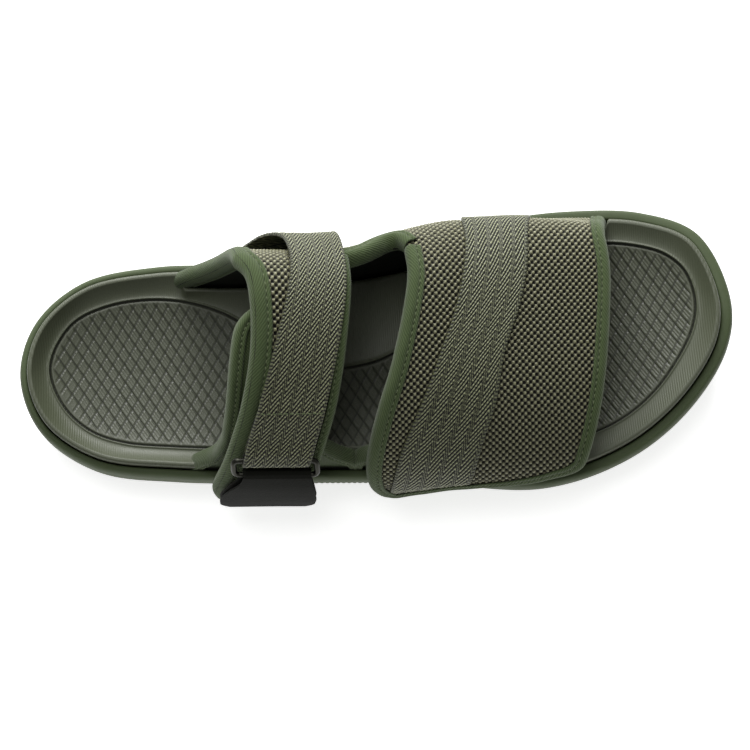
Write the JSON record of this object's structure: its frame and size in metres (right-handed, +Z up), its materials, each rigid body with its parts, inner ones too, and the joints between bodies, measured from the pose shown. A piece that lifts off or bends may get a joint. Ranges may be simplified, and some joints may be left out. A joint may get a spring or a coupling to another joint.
{
  "type": "strappy sport sandal",
  "caption": "Right-foot slide sandal: moulded foam footbed in a cup sole, two padded hook-and-loop flaps with webbing straps over the foot, and a pull tab on a ring.",
  "frame": {"origin": "on the ground under the middle of the sole's length", "axes": "+X from heel to toe, +Y to the medial (big toe) side, +Z up"},
  "size_m": [0.2912, 0.1172, 0.099],
  "materials": {
    "outsole_rubber": "matt",
    "midsole_foam": "matt moulded foam",
    "footbed_foam": "matt moulded foam, textured pad",
    "lining_fabric": "matt knit",
    "padding_foam": "open-cell foam",
    "binding_tape": "fine knit tape",
    "webbing": "herringbone weave with a slight sheen",
    "hook_and_loop": "hook-and-loop pile",
    "ring_metal": "dark anodised, satin",
    "tab_microfibre": "matt microfibre",
    "mesh_fabric": "spacer mesh with small holes"
  },
  "bodies": {
    "sole": {"outsole": "outsole_rubber", "midsole": "midsole_foam", "footbed": "footbed_foam", "medial_wall_lining": "lining_fabric", "medial_wall_padding": "padding_foam", "medial_wall_mesh": "mesh_fabric", "wall_heel_binding": "binding_tape", "wall_toe_binding": "binding_tape", "scoop_binding": "binding_tape", "front_webbing_anchor": "webbing", "rear_webbing_anchor": "webbing", "rear_lateral_base": "mesh_fabric", "rear_base_lining": "lining_fabric", "rear_base_binding": "binding_tape", "rear_loop_patch": "hook_and_loop", "front_lateral_base": "mesh_fabric", "front_base_lining": "lining_fabric", "front_base_binding": "binding_tape", "front_loop_patch": "hook_and_loop"},
    "front_flap": {"front_flap_lining": "lining_fabric", "front_flap_padding": "padding_foam", "front_flap_mesh": "mesh_fabric", "front_flap_binding": "binding_tape", "front_webbing": "webbing", "front_hook_patch": "hook_and_loop"},
    "rear_flap": {"rear_flap_lining": "lining_fabric", "rear_flap_padding": "padding_foam", "rear_flap_mesh": "mesh_fabric", "rear_heel_binding": "binding_tape", "rear_toe_binding": "binding_tape", "rear_webbing": "webbing", "rear_hook_patch": "hook_and_loop", "rear_ring": "ring_metal"},
    "pull_tab": {"pull_tab": "tab_microfibre"}
  },
  "joints": [
    {"name": "front_flap_open", "type": "hinge", "parent": "sole", "child": "front_flap", "pos_m": [0.05451, 0.03493, 0.07019], "axis": [-0.9769, -0.0378, 0.2102], "range_deg": [0, 100]},
    {"name": "rear_flap_open", "type": "hinge", "parent": "sole", "child": "rear_flap", "pos_m": [-0.02956, 0.03377, 0.09031], "axis": [-0.9792, 0.0241, 0.2015], "range_deg": [0, 100]},
    {"name": "pull_tab_lift", "type": "hinge", "parent": "rear_flap", "child": "pull_tab", "pos_m": [-0.04252, -0.05189, 0.06065], "axis": [-0.9949, 0.0518, 0.0866], "range_deg": [0, 60]}
  ]
}
